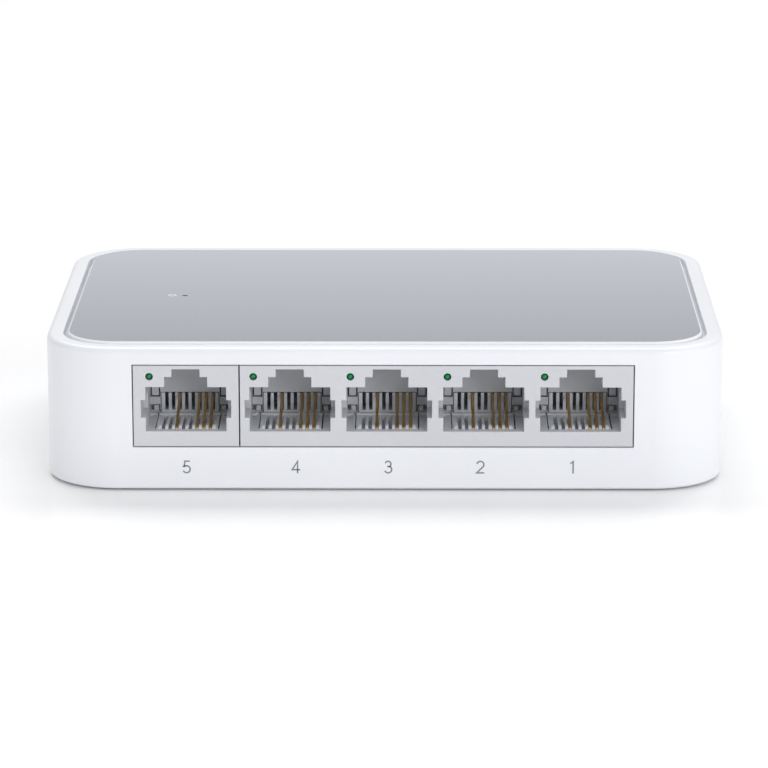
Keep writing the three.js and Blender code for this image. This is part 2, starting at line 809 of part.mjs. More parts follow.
// X of a contact, counted from the left as 0 to 7. Pin 8 is on the left.
const contactX = (portX, place) => portX + (place - (CONTACT_PLACES - 1) / 2) * CONTACT_PITCH;
const placeOfPin = (pin) => CONTACT_PLACES - pin;

// The grooved floor a port's wires lie in, and the comb behind it that holds their free ends.
function contactCarrier(x) {
  const c = CARRIER;
  const m = MOUTH;
  const floorX = [x - c.floorHalf, x + c.floorHalf];
  const combX = [x - c.combHalf, x + c.combHalf];
  const floorBack = JACK.rearWall - c.fit.side;
  const floor = block(floorX, [c.front, floorBack], [c.bottom, m.floor]);
  const neck = block(combX, [floorBack - c.fit.top, c.back], [c.bottom, m.floor]);
  const comb = block(combX, [JACK.rearWall, c.back], [c.bottom, c.combTop]);
  const ribHeights = [m.floor - SINK, m.floor + FLOOR_RIB.height];
  const rib = block(floorX, [FLOOR_RIB.front, FLOOR_RIB.back], ribHeights);
  // Raised teeth at the front of the floor, with a ramp towards the mouth.
  const teeth = prismX(
    [
      [c.front, m.floor - SINK],
      [c.toothBack, m.floor - SINK],
      [c.toothBack - c.toothHeight, m.floor + c.toothHeight],
      [c.front + 0.5, m.floor + c.toothHeight],
      [c.front, m.floor],
    ],
    combX,
  );
  const cuts = [];
  for (let place = 0; place < CONTACT_PLACES; place += 1) {
    const middle = contactX(x, place);
    const slotX = [middle - c.grooveWidth / 2, middle + c.grooveWidth / 2];
    cuts.push(
      block(slotX, [c.front - PAST, JACK.rearWall + c.grooveEnd], [c.grooveFloor, m.floor + PAST]),
      block(
        slotX,
        [JACK.rearWall + c.slotFront, JACK.rearWall + c.slotDepth],
        [c.slotBottom, c.combTop + PAST],
      ),
    );
  }
  return cut(join(floor, neck, comb, rib, teeth), ...cuts);
}

// A contact's outline in Y and Z: a short root, the front bend and the sloping spring arm.
function contactOutline() {
  const { pivot, bendRadius, slope, root, freeEndY, tip } = WIRE_PATH;
  const centreLine = [];
  const bendSteps = 4;
  // The bend starts pointing forwards along the floor and ends pointing back up the slope.
  const startTurn = -Math.PI / 2;
  const endTurn = -Math.PI - (Math.PI / 2 - slope);
  centreLine.push([pivot[0] + root, pivot[1] - bendRadius]);
  for (let step = 0; step <= bendSteps; step += 1) {
    const turn = startTurn + ((endTurn - startTurn) * step) / bendSteps;
    centreLine.push([pivot[0] + bendRadius * Math.cos(turn), pivot[1] + bendRadius * Math.sin(turn)]);
  }
  const [armY, armZ] = centreLine.at(-1);
  const armEndY = freeEndY - tip;
  const armEndZ = armZ + (armEndY - armY) * Math.tan(slope);
  centreLine.push([armEndY, armEndZ]);
  centreLine.push([freeEndY, armEndZ + 0.05]);
  return thickened(centreLine, WIRE.thickness);
}

// A strip of even thickness along a line of points, as a closed outline.
function thickened(line, thickness) {
  const sides = line.map((point, i) => {
    const before = line[Math.max(i - 1, 0)];
    const after = line[Math.min(i + 1, line.length - 1)];
    const run = new THREE.Vector2(after[0] - before[0], after[1] - before[1]).normalize();
    const half = thickness / 2;
    return {
      left: [point[0] - run.y * half, point[1] + run.x * half],
      right: [point[0] + run.y * half, point[1] - run.x * half],
    };
  });
  return facingOut([...sides.map((s) => s.right), ...sides.map((s) => s.left).reverse()]);
}

// A domed lens on a short rod, set back a little in its hole.
function portLamp(x) {
  const { radius, length, z, offsetX, setBack } = PORT_LED;
  const profile = [
    [0, 0],
    [radius * 0.6, 0.06],
    [radius * 0.9, 0.22],
    [radius, 0.45],
    [radius, length],
    [0, length],
  ].map(([r, y]) => new THREE.Vector2(r, y));
  const lamp = new THREE.LatheGeometry(profile, 16);
  lamp.translate(x + offsetX, JACK.front + setBack, z);
  return solid(lamp);
}

function addPorts() {
  const pegs = jackPegPlaces();
  addPiece(
    'jack_housing_single',
    jackHousing([jackLeft, singleRight], PORTS.slice(0, 1), pegs.slice(0, 2)),
    COLOURS.jackPlastic,
  );
  addPiece(
    'jack_housing_ganged',
    jackHousing([gangedLeft, jackRight], PORTS.slice(1), pegs.slice(2)),
    COLOURS.jackPlastic,
  );
  const outline = contactOutline();
  for (const { label, x } of PORTS) {
    addPiece(`port_${label}_contact_carrier`, contactCarrier(x), COLOURS.carrierPlastic);
    addPiece(`port_${label}_lamp`, portLamp(x), COLOURS.greenLens);
    for (const pin of WIRE.pins) {
      const middle = contactX(x, placeOfPin(pin));
      const wire = prismX(outline, [middle - WIRE.width / 2, middle + WIRE.width / 2]);
      addPiece(`port_${label}_contact_${pin}`, wire, COLOURS.gold);
    }
  }
}

// ---- power

// The inlet's block, with a round nose that fills the hole in the case's side wall.
function inletHousing() {
  const i = INLET;
  const body = block([i.front, i.back], [i.y - i.halfWidth, i.y + i.halfWidth], [BOARD_TOP + GAP, i.top]);
  const nose = rodX([i.nose, i.front + SINK], i.y, i.z, i.noseRadius);
  const bore = rodX([i.nose - PAST, i.boreEnd], i.y, i.z, i.bore);
  const pinHole = rodX([i.boreEnd - PAST, i.back + PAST], i.y, i.z, i.pinRadius + GAP, 12);
  const leafSlot = block(
    [LEAF.tipX - LEAF.slotSpare, LEAF.pivotX + 2 * LEAF.slotSpare],
    [LEAF.y - LEAF.bump - LEAF.slotSpare, i.y + i.halfWidth + PAST],
    [i.z - LEAF.halfHeight - GAP, i.z + LEAF.halfHeight + GAP],
  );
  return cut(join(body, nose), bore, pinHole, leafSlot);
}

// The round-nosed pin along the middle of the bore.
function inletPin() {
  const i = INLET;
  const length = i.back - GAP - i.pinTip;
  const profile = [
    [0, 0],
    [i.pinRadius * 0.5, 0.05],
    [i.pinRadius, 0.5],
    [i.pinRadius, length],
    [0, length],
  ].map(([r, along]) => new THREE.Vector2(r, along));
  const pin = new THREE.LatheGeometry(profile, 12);
  pin.rotateZ(-Math.PI / 2);
  pin.translate(i.pinTip, i.y, i.z);
  return solid(pin);
}

// The sprung leaf that presses on the plug's barrel.
function inletLeaf() {
  const { pivotX, tipX, y, thickness, halfHeight, bump } = LEAF;
  const line = [
    [pivotX, y],
    [pivotX - 3.2, y],
    [pivotX - 4.3, y - bump],
    [pivotX - 4.9, y - bump],
    [tipX, y - 0.1],
  ];
  return prismZ(thickened(line, thickness), [INLET.z - halfHeight, INLET.z + halfHeight]);
}

// A clear pipe from the lamp to the pinhole: a tapered stem, a collar under the deck and a tip.
function powerLightPipe() {
  const { x, y, height, pipeRadius, pipeSetBack } = POWER_LAMP;
  const collarTop = CASE.deckTop - CASE.deck - GAP;
  const collarUnder = collarTop - 0.8;
  const foot = BOARD_TOP + GAP + height + SINK;
  return join(
    rodZ(x, y, [collarTop - 0.1, INLAY.top - pipeSetBack], pipeRadius, 16),
    rodZ(x, y, [collarUnder, collarTop], 1.4, 16),
    rodZ(x, y, [foot, collarUnder + 0.1], 0.9, 12, 1.1),
  );
}

// The diode on the board: its body on a wider pair of terminals.
function powerLampDiode() {
  const { x, y, height } = POWER_LAMP;
  const low = BOARD_TOP + GAP;
  return join(
    block([x - 0.8, x + 0.8], [y - 0.4, y + 0.4], [low, low + height / 2]),
    block([x - 0.5, x + 0.5], [y - 0.4, y + 0.4], [low, low + height]),
  );
}

function addPower() {
  addPiece('power_inlet_housing', inletHousing(), COLOURS.blackPart);
  addPiece('power_inlet_pin', inletPin(), COLOURS.steel);
  addPiece('power_inlet_leaf', inletLeaf(), COLOURS.steel);
  addPiece('power_lamp', powerLampDiode(), COLOURS.greenLens);
  addPiece('power_light_pipe', powerLightPipe(), COLOURS.clearLens);
}

addCase();
addBoard();
addPorts();
addPower();

export default networkSwitch;
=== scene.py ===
"""Looks of a five-port desktop network switch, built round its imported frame.

Every piece is in metres in the frame's own axes: X along the row of ports, -Y out of the ports,
+Z up. Each sub-assembly is a class that refines its pieces from the frame, gives them their
finishes and seats them on their bodies.
"""

from __future__ import annotations

import json
import logging
import math
from dataclasses import dataclass
from enum import Enum
from typing import Any, Iterable, Sequence

import bmesh
import bpy
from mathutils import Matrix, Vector


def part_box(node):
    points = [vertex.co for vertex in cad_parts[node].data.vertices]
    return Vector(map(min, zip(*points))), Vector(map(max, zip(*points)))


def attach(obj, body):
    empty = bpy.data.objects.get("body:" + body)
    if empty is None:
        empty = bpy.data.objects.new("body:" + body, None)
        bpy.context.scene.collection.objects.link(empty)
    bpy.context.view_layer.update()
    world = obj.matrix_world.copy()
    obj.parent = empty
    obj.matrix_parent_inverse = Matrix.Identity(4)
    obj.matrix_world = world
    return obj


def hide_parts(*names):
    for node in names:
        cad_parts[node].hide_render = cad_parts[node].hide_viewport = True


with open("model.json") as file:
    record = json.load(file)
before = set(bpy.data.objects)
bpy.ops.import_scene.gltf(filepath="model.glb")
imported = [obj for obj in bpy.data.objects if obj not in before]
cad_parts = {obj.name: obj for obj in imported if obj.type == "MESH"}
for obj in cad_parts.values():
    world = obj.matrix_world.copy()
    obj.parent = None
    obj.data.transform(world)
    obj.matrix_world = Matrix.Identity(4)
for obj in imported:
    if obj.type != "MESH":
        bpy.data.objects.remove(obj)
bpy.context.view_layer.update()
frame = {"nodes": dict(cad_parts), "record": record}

LOG = logging.getLogger("network_switch")
MM = 0.001
BLEND_RANGE = (0.3, 0.7)  # where a two-colour blend starts and ends in a noise pattern
WELD_MM = 0.002  # vertices of a frame piece closer than this are one
SHORTEST_EDGE_MM = 0.001
FLAT_WITHIN_DEGREES = 0.5  # faces that turn less than this from each other are joined
SHARPEST_MITRE = 0.35  # keeps a printed line's corner from growing into a spike
PORT_LABELS = (5, 4, 3, 2, 1)  # left to right, as the ports are faced
CONTACT_PINS = (6, 3, 2, 1)


# ---------------------------------------------------------------- colour and shader helpers


def linear(hex_colour: str) -> tuple[float, float, float, float]:
    """Turns an sRGB hex colour to linear light.

    Args:
        hex_colour: Six hex digits, such as "d0d2d6".

    Returns:
        Red, green, blue and an alpha of one.
    """
    levels = [int(hex_colour[i : i + 2], 16) / 255 for i in (0, 2, 4)]
    red, green, blue = (v / 12.92 if v <= 0.04045 else ((v + 0.055) / 1.055) ** 2.4 for v in levels)
    return red, green, blue, 1.0


def add_node(
    material: bpy.types.Material,
    kind: str,
    settings: dict[str, Any] | None = None,
    inputs: dict[str, Any] | None = None,
) -> bpy.types.Node:
    """Adds one node to a material's tree with its settings and what feeds it.

    Args:
        material: The material to add to.
        kind: The node's type, such as "ShaderNodeTexNoise".
        settings: Properties of the node.
        inputs: Input names, each with a value or with the output socket to link from.

    Returns:
        The new node.
    """
    tree = material.node_tree
    node = tree.nodes.new(kind)
    for name, value in (settings or {}).items():
        setattr(node, name, value)
    for name, value in (inputs or {}).items():
        socket = node.inputs[name]
        if isinstance(value, bpy.types.NodeSocket):
            tree.links.new(value, socket)
        else:
            socket.default_value = value
    return node


def blank_material(name: str) -> tuple[bpy.types.Material, bpy.types.Node]:
    """Starts a material that holds only its surface shader.

    Args:
        name: The material's name.

    Returns:
        The material and its Principled shader, already linked to the output.
    """
    material = bpy.data.materials.new(name)
    material.use_nodes = True
    tree = material.node_tree
    tree.nodes.clear()
    shader = tree.nodes.new("ShaderNodeBsdfPrincipled")
    output = tree.nodes.new("ShaderNodeOutputMaterial")
    tree.links.new(shader.outputs["BSDF"], output.inputs["Surface"])
    return material, shader


def feed(material: bpy.types.Material, source: bpy.types.NodeSocket, target: bpy.types.NodeSocket) -> None:
    """Links one socket to another."""
    material.node_tree.links.new(source, target)


def surface_place(material: bpy.types.Material, stretch: Sequence[float] = (1, 1, 1)) -> bpy.types.NodeSocket:
    """Gives the place of each surface point in the frame, stretched along the axes.

    Args:
        material: The material to add to.
        stretch: Scale along X, Y and Z; a small number draws the pattern out along that axis.

    Returns:
        The socket that carries the place.
    """
    place = add_node(material, "ShaderNodeTexCoord")
    mapping = add_node(
        material, "ShaderNodeMapping", {}, {"Vector": place.outputs["Object"], "Scale": tuple(stretch)}
    )
    return mapping.outputs["Vector"]


def noise(
    material: bpy.types.Material, size_mm: float, place: bpy.types.NodeSocket, detail: float = 2.0
) -> bpy.types.NodeSocket:
    """Adds a noise pattern whose lumps have a real size.

    Args:
        material: The material to add to.
        size_mm: The size of one lump in millimetres.
        place: Where the pattern is read.
        detail: How many finer octaves ride on it.

    Returns:
        The pattern's value, from 0 to 1.
    """
    pattern = add_node(
        material,
        "ShaderNodeTexNoise",
        {},
        {"Vector": place, "Scale": 1 / (size_mm * MM), "Detail": detail},
    )
    return pattern.outputs["Fac"]


def between(
    material: bpy.types.Material, value: bpy.types.NodeSocket, low: float, high: float
) -> bpy.types.NodeSocket:
    """Maps a pattern from 0 to 1 onto a range."""
    mapped = add_node(
        material, "ShaderNodeMapRange", {}, {"Value": value, "To Min": low, "To Max": high}
    )
    return mapped.outputs["Result"]


def tinted(
    material: bpy.types.Material, value: bpy.types.NodeSocket, first: str, second: str
) -> bpy.types.NodeSocket:
    """Blends two sRGB hex colours by a pattern, over the middle of the pattern's range."""
    ramp = add_node(material, "ShaderNodeValToRGB", {}, {"Fac": value})
    for stop, position, colour in zip(ramp.color_ramp.elements, BLEND_RANGE, (first, second)):
        stop.position = position
        stop.color = linear(colour)
    return ramp.outputs["Color"]


def bumped(
    material: bpy.types.Material, height: bpy.types.NodeSocket, depth_mm: float
) -> bpy.types.NodeSocket:
    """Turns a pattern into a bump of a real depth in millimetres."""
    bump = add_node(
        material,
        "ShaderNodeBump",
        {},
        {"Height": height, "Distance": depth_mm * MM, "Strength": 1.0},
    )
    return bump.outputs["Normal"]


# ---------------------------------------------------------------- finishes


@dataclass(frozen=True)
class MouldedPlastic:
    """An injection-moulded plastic, such as ABS or PBT, with the fine grain of its mould.

    The mould's grain softens the highlight. The plastic's colour drifts a little over
    centimetres, which keeps a large face from looking like flat paint.
    """

    name: str
    colour: str
    drift: str
    roughness: float
    ior: float = 1.53
    grain_mm: float = 0.18
    grain_depth_mm: float = 0.002
    drift_mm: float = 28.0
    gloss_spread: float = 0.04

    def build(self) -> bpy.types.Material:
        """Makes the material."""
        material, shader = blank_material(self.name)
        place = surface_place(material)
        slow = noise(material, self.drift_mm, place, 1.0)
        grain = noise(material, self.grain_mm, place, 3.0)
        feed(material, tinted(material, slow, self.colour, self.drift), shader.inputs["Base Color"])
        feed(
            material,
            between(
                material,
                grain,
                self.roughness - self.gloss_spread,
                self.roughness + self.gloss_spread,
            ),
            shader.inputs["Roughness"],
        )
        feed(material, bumped(material, grain, self.grain_depth_mm), shader.inputs["Normal"])
        shader.inputs["IOR"].default_value = self.ior
        return material


@dataclass(frozen=True)
class PaintedPanel:
    """A moulded panel sprayed with satin grey paint that carries a fine flake.

    The flake shows as a faint sparkle of lighter and darker specks, and the paint's own
    orange-peel is a shallow ripple about two millimetres across. The tone falls towards the
    jacks, which stands in for the way the light falls off across the panel.
    """

    name: str = "satin_grey_paint"
    colour: str = "b3b7bf"
    flake: str = "bbbfc6"
    painted_shade_at_jacks: float = 0.68  # painted shade: the share of its brightness left at the edge by the jacks
    half_depth_mm: float = 33.0
    roughness: tuple[float, float] = (0.39, 0.47)
    ior: float = 1.5
    flake_mm: float = 0.14
    ripple_mm: float = 2.2
    ripple_depth_mm: float = 0.0012

    def build(self) -> bpy.types.Material:
        """Makes the material."""
        material, shader = blank_material(self.name)
        place = surface_place(material)
        specks = noise(material, self.flake_mm, place, 2.0)
        ripple = noise(material, self.ripple_mm, place, 1.0)
        paint = tinted(material, specks, self.colour, self.flake)
        toned = add_node(
            material,
            "ShaderNodeHueSaturation",
            {},
            {"Color": paint, "Value": self.fall_off(material, place)},
        )
        feed(material, toned.outputs["Color"], shader.inputs["Base Color"])
        feed(material, between(material, specks, *self.roughness), shader.inputs["Roughness"])
        feed(material, bumped(material, ripple, self.ripple_depth_mm), shader.inputs["Normal"])
        shader.inputs["IOR"].default_value = self.ior
        return material

    def fall_off(self, material: bpy.types.Material, place: bpy.types.NodeSocket) -> bpy.types.NodeSocket:
        """Gives the painted shade as a tone, from one at the back edge to its lowest at the jacks."""
        parts = add_node(material, "ShaderNodeSeparateXYZ", {}, {"Vector": place})
        depth = add_node(
            material,
            "ShaderNodeMapRange",
            {},
            {
                "Value": parts.outputs["Y"],
                "From Min": self.half_depth_mm * MM,
                "From Max": -self.half_depth_mm * MM,
                "To Min": 1.0,
                "To Max": self.painted_shade_at_jacks,
            },
        )
        return depth.outputs["Result"]


@dataclass(frozen=True)
class DrawnMetal:
    """A drawn, rolled or plated metal with fine lines left along one axis by its making."""

    name: str
    colour: str
    shade: str
    roughness: float
    stretch: tuple[float, float, float] = (1.0, 0.05, 1.0)
    line_mm: float = 0.09
    line_depth_mm: float = 0.0008
    stain_mm: float = 2.5
    smoother: float = 0.06
    rougher: float = 0.08

    def build(self) -> bpy.types.Material:
        """Makes the material."""
        material, shader = blank_material(self.name)
        lines = noise(material, self.line_mm, surface_place(material, self.stretch), 2.0)
        stain = noise(material, self.stain_mm, surface_place(material), 2.0)
        feed(material, tinted(material, stain, self.colour, self.shade), shader.inputs["Base Color"])
        feed(
            material,
            between(
                material, lines, self.roughness - self.smoother, self.roughness + self.rougher
            ),
            shader.inputs["Roughness"],
        )
        feed(material, bumped(material, lines, self.line_depth_mm), shader.inputs["Normal"])
        shader.inputs["Metallic"].default_value = 1.0
        return material


@dataclass(frozen=True)
class LampLens:
    """A moulded epoxy lamp lens, unlit: bright green in the middle and a deeper rim, which is painted shade
    at the lens's edge.

    The colour follows the distance from the lens's axis, as a share of the lens's own box.
    """

    name: str = "green_epoxy_lens"
    middle: str = "08924e"
    # painted shade: the darker green at the lens's edge
    rim: str = "055f36"
    middle_reach: float = 0.08
    rim_reach: float = 0.42
    roughness: float = 0.22
    ior: float = 1.35

    def build(self) -> bpy.types.Material:
        """Makes the material."""
        material, shader = blank_material(self.name)
        place = add_node(material, "ShaderNodeTexCoord")
        parts = add_node(material, "ShaderNodeSeparateXYZ", {}, {"Vector": place.outputs["Generated"]})
        across = add_node(
            material, "ShaderNodeCombineXYZ", {}, {"X": parts.outputs["X"], "Y": parts.outputs["Z"]}
        )
        reach = add_node(material, "ShaderNodeVectorMath", {"operation": "DISTANCE"})
        reach.inputs[1].default_value = (0.5, 0.5, 0.0)
        feed(material, across.outputs["Vector"], reach.inputs[0])
        ramp = add_node(material, "ShaderNodeValToRGB", {}, {"Fac": reach.outputs["Value"]})
        ramp.color_ramp.elements[0].position = self.middle_reach
        ramp.color_ramp.elements[0].color = linear(self.middle)
        ramp.color_ramp.elements[1].position = self.rim_reach
        ramp.color_ramp.elements[1].color = linear(self.rim)
        feed(material, ramp.outputs["Color"], shader.inputs["Base Color"])
        shader.inputs["Roughness"].default_value = self.roughness
        shader.inputs["IOR"].default_value = self.ior
        return material


@dataclass(frozen=True)
class BoardLaminate:
    """Glass-epoxy board under green solder mask: copper tracks show as lighter raised bars."""

    name: str = "solder_masked_laminate"
    mask: str = "17573a"
    track: str = "237a50"
    track_mm: float = 1.6
    track_length: float = 4.0  # this and the next two count in track_mm
    track_pitch: float = 0.5
    gap: float = 0.12
    track_relief_mm: float = -0.02  # the pattern is high in the gaps, so a minus raises the tracks
    roughness: float = 0.38
    ior: float = 1.5

    def build(self) -> bpy.types.Material:
        """Makes the material."""
        material, shader = blank_material(self.name)
        tracks = add_node(
            material,
            "ShaderNodeTexBrick",
            {"offset": 0.5},
            {
                "Vector": surface_place(material),
                "Scale": 1 / (self.track_mm * MM),
                "Color1": linear(self.track),
                "Color2": linear(self.mask),
                "Mortar": linear(self.mask),
                "Mortar Size": self.gap,
                "Brick Width": self.track_length,
                "Row Height": self.track_pitch,
            },
        )
        relief = bumped(material, tracks.outputs["Fac"], self.track_relief_mm)
        feed(material, tracks.outputs["Color"], shader.inputs["Base Color"])
        feed(material, relief, shader.inputs["Normal"])
        shader.inputs["Roughness"].default_value = self.roughness
        shader.inputs["IOR"].default_value = self.ior
        return material


@dataclass(frozen=True)
class StudioSurface:
    """The pale sheet the switch stands on: smooth, with only a trace of a reflection."""

    name: str = "pale_sheet"
    colour: str = "fefeff"
    roughness: float = 0.3
    ior: float = 1.3

    def build(self) -> bpy.types.Material:
        """Makes the material."""
        material, shader = blank_material(self.name)
        shader.inputs["Base Color"].default_value = linear(self.colour)
        shader.inputs["Roughness"].default_value = self.roughness
        shader.inputs["IOR"].default_value = self.ior
        return material


class Finish(Enum):
    """Every finish on the switch, each named for the real material and how it is made; a few also paint light
    or shade, as their notes say.
    """

    # ABS straight from a spark-eroded mould: bright, slightly cool white with a soft gloss.
    CASE_ABS = MouldedPlastic("moulded_white_abs", "eceef2", "e8eaef", 0.34)
    # The same ABS left bare along the panel's cut edge, a little brighter than the case.
    EDGE_ABS = MouldedPlastic("cut_white_abs_edge", "f4f5f8", "eff0f4", 0.3, grain_mm=0.12)
    PANEL_PAINT = PaintedPanel()
    # PBT is the usual jack plastic: light grey, a duller gloss than ABS.
    JACK_PBT = MouldedPlastic("moulded_grey_pbt", "cdcfd4", "c8cacf", 0.46, 1.57, 0.15, 0.003)
    # The same PBT as the jacks, painted lighter than them so that the shaded inside of each port reads
    # brighter: painted light.
    CARRIER_PBT = MouldedPlastic("grey_pbt_painted_lighter", "dcdfe4", "d5d8dd", 0.44, 1.57, 0.15, 0.003)
    # Gold flash over nickel on phosphor-bronze wire.
    CONTACT_GOLD = DrawnMetal("gold_flashed_wire", "d2ae74", "be9a60", 0.36)
    NICKEL = DrawnMetal("nickel_plated_steel", "c6c4be", "b2b0aa", 0.26)
    TINNED_BRONZE = DrawnMetal("tinned_bronze_strip", "b9b3a4", "a39a86", 0.34, (0.05, 1.0, 1.0))
    CAN = DrawnMetal("drawn_aluminium_can", "d2d3d5", "bfc0c3", 0.3, (1.0, 1.0, 0.05))
    GREEN_LENS = LampLens()
    # Clear acrylic over an unlit lamp: its dark colour is painted shade, the unlit inside of the case seen
    # through it.
    LIGHT_PIPE = MouldedPlastic("light_pipe_painted_shade", "202226", "2a2c31", 0.3, 1.25, 0.5, 0.0004)
    FOOT_RUBBER = MouldedPlastic("die_cut_rubber", "8b8d91", "7d8084", 0.78, 1.52, 0.25, 0.01)
    BOARD = BoardLaminate()
    CHIP_RESIN = MouldedPlastic("moulded_epoxy_chip", "1c1d1f", "242528", 0.55, 1.55, 0.2, 0.004)
    FERRITE = MouldedPlastic("ferrite_and_resin", "17181a", "202124", 0.5, 1.6, 0.3, 0.006)
    INLET_NYLON = MouldedPlastic("black_polyamide", "151618", "1d1e21", 0.42, 1.53, 0.2, 0.003)
    # Pad-printing ink sits on the face as a thin matt film.
    NUMERAL_INK = MouldedPlastic("grey_pad_print", "84878d", "7e8187", 0.6, 1.5, 0.1, 0.001)
    SYMBOL_INK = MouldedPlastic("white_pad_print", "e6e8ec", "dfe1e6", 0.6, 1.5, 0.1, 0.001)

    def material(self) -> bpy.types.Material:
        """Gives the finish's material, and makes it the first time."""
        return bpy.data.materials.get(self.value.name) or self.value.build()


# ---------------------------------------------------------------- mesh helpers


def link_mesh(name: str, mesh: bpy.types.Mesh) -> bpy.types.Object:
    """Puts a mesh in the scene as a new object."""
    piece = bpy.data.objects.new(name, mesh)
    bpy.context.scene.collection.objects.link(piece)
    return piece


def smooth_by_angle(mesh: bpy.types.Mesh, degrees: float = 48.0) -> None:
    """Shades a mesh smooth, and keeps edges sharper than an angle crisp."""
    mesh.shade_smooth()
    mesh.set_sharp_from_angle(angle=math.radians(degrees))


def settled(piece: bpy.types.Object) -> bpy.types.Object:
    """Applies an object's modifiers to its mesh.

    Args:
        piece: The object whose modifiers are applied.

    Returns:
        The same object, with no modifiers left.
    """
    graph = bpy.context.evaluated_depsgraph_get()
    final = bpy.data.meshes.new_from_object(piece.evaluated_get(graph), depsgraph=graph)
    piece.modifiers.clear()
    piece.data = final
    return piece


@dataclass(frozen=True)
class Edge:
    """How the edges of a moulded or cut piece are rounded; a radius of 0 leaves them sharp."""

    radius_mm: float = 0.06
    segments: int = 2
    from_degrees: float = 38.0


def refined(node: str, name: str, edge: Edge) -> bpy.types.Object:
    """Makes a finer piece from a frame node: flat faces joined, edges rounded, normals cleaned.

    Args:
        node: The frame node it is made from and stands for.
        name: The new piece's name.
        edge: How its edges are rounded.

    Returns:
        The new object.
    """
    work = bmesh.new()
    work.from_mesh(frame["nodes"][node].data)
    bmesh.ops.remove_doubles(work, verts=work.verts, dist=WELD_MM * MM)
    bmesh.ops.dissolve_degenerate(work, edges=work.edges, dist=SHORTEST_EDGE_MM * MM)
    bmesh.ops.dissolve_limit(
        work,
        angle_limit=math.radians(FLAT_WITHIN_DEGREES),
        verts=work.verts,
        edges=work.edges,
        delimit=set(),
    )
    # A flat face with a hole in it is cut up again, so that its edges bevel cleanly.
    bmesh.ops.triangulate(work, faces=[face for face in work.faces if len(face.verts) > 4])
    mesh = bpy.data.meshes.new(name)
    work.to_mesh(mesh)
    work.free()
    piece = link_mesh(name, mesh)
    if edge.radius_mm > 0:
        rounding = piece.modifiers.new("edge_rounding", "BEVEL")
        rounding.width = edge.radius_mm * MM
        rounding.segments = edge.segments
        rounding.limit_method = "ANGLE"
        rounding.angle_limit = math.radians(edge.from_degrees)
        rounding.use_clamp_overlap = False
        rounding.miter_outer = "MITER_SHARP"
        settled(piece)
    smooth_by_angle(piece.data)
    weights = piece.modifiers.new("face_weights", "WEIGHTED_NORMAL")
    weights.keep_sharp = True
    return settled(piece)


def body_of_node(node: str) -> str:
    """Finds the body that a frame node belongs to."""
    bodies = frame["record"]["behaviour"]["bodies"]
    return next(body for body, members in bodies.items() if node in members)


def middle_of(node: str) -> Vector:
    """Finds the middle of a frame node as seen from above."""
    low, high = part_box(node)
    return Vector(((low.x + high.x) / 2, (low.y + high.y) / 2))


def seat(piece: bpy.types.Object, node: str, finish: Finish) -> bpy.types.Object:
    """Gives a piece its finish, and seats it in place of a frame node.

    Args:
        piece: The finer piece.
        node: The frame node it stands for.
        finish: The finish it wears.

    Returns:
        The piece.
    """
    piece.data.materials.clear()
    piece.data.materials.append(finish.material())
    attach(piece, body_of_node(node))
    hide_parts(node)
    return piece


def refine_and_seat(node: str, name: str, finish: Finish, edge: Edge = Edge()) -> bpy.types.Object:
    """Refines a frame node, dresses it and seats it."""
    piece = seat(refined(node, name, edge), node, finish)
    LOG.info("%s: %d faces, for %s", name, len(piece.data.polygons), node)
    return piece


# ---------------------------------------------------------------- sub-assemblies


@dataclass
class CaseAssembly:
    """The white shell, the grey panel let into it, the flush bottom and its four pads."""

    shell_edge: Edge = Edge(0.12, 3)
    panel_edge: Edge = Edge(0.05, 2)
    base_edge: Edge = Edge(0.1, 2)
    foot_edge: Edge = Edge(0.08, 2)
    painted_depth_mm: float = 0.05  # how far below the top a face can lie and still be painted
    painted_facing: float = 0.95  # how nearly upright, of 1, a painted face's normal stands
    pinhole_reach_mm: float = 1.0

    def build(self) -> None:
        """Makes the shell, the panel, the bottom and the pads."""
        refine_and_seat("top_cover", "case_shell", Finish.CASE_ABS, self.shell_edge)
        self.build_panel()
        refine_and_seat("bottom_cover", "case_bottom", Finish.CASE_ABS, self.base_edge)
        for place in ("front_left", "front_right", "rear_left", "rear_right"):
            refine_and_seat(
                f"rubber_foot_{place}", f"foot_pad_{place}", Finish.FOOT_RUBBER, self.foot_edge
            )

    def build_panel(self) -> None:
        """Makes the panel: paint on top and in the pinhole, bare plastic on the rest."""
        panel = refine_and_seat("top_inlay", "top_panel", Finish.PANEL_PAINT, self.panel_edge)
        panel.data.materials.append(Finish.EDGE_ABS.material())
        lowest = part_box("top_inlay")[1].z - self.painted_depth_mm * MM
        pinhole = middle_of("power_light_pipe")
        for face in panel.data.polygons:
            on_top = face.normal.z > self.painted_facing and face.center.z > lowest
            # Paint on the pinhole's wall is real, as spray coats a hole, and its grey there also stands in
            # for the pinhole's shade.
            in_pinhole = (face.center.xy - pinhole).length < self.pinhole_reach_mm * MM
            face.material_index = 0 if on_top or in_pinhole else 1


@dataclass
class PortRow:
    """The two jack housings, their contact carriers, sprung wires and lamps."""

    housing_edge: Edge = Edge(0.06, 2)
    carrier_edge: Edge = Edge(0.04, 2)
    wire_edge: Edge = Edge(0.07, 2, 50.0)
    lens_edge: Edge = Edge(0.0)

    def build(self) -> None:
        """Makes the housings, then each port's own pieces."""
        refine_and_seat("jack_housing_single", "jack_single", Finish.JACK_PBT, self.housing_edge)
        refine_and_seat("jack_housing_ganged", "jack_ganged", Finish.JACK_PBT, self.housing_edge)
        for label in PORT_LABELS:
            self.build_port(label)

    def build_port(self, label: int) -> None:
        """Makes one port's carrier, lamp and four wires.

        Args:
            label: The port's number.
        """
        refine_and_seat(
            f"port_{label}_contact_carrier",
            f"carrier_{label}",
            Finish.CARRIER_PBT,
            self.carrier_edge,
        )
        refine_and_seat(f"port_{label}_lamp", f"lamp_{label}", Finish.GREEN_LENS, self.lens_edge)
        for pin in CONTACT_PINS:
            refine_and_seat(
                f"port_{label}_contact_{pin}",
                f"wire_{label}_{pin}",
                Finish.CONTACT_GOLD,
                self.wire_edge,
            )


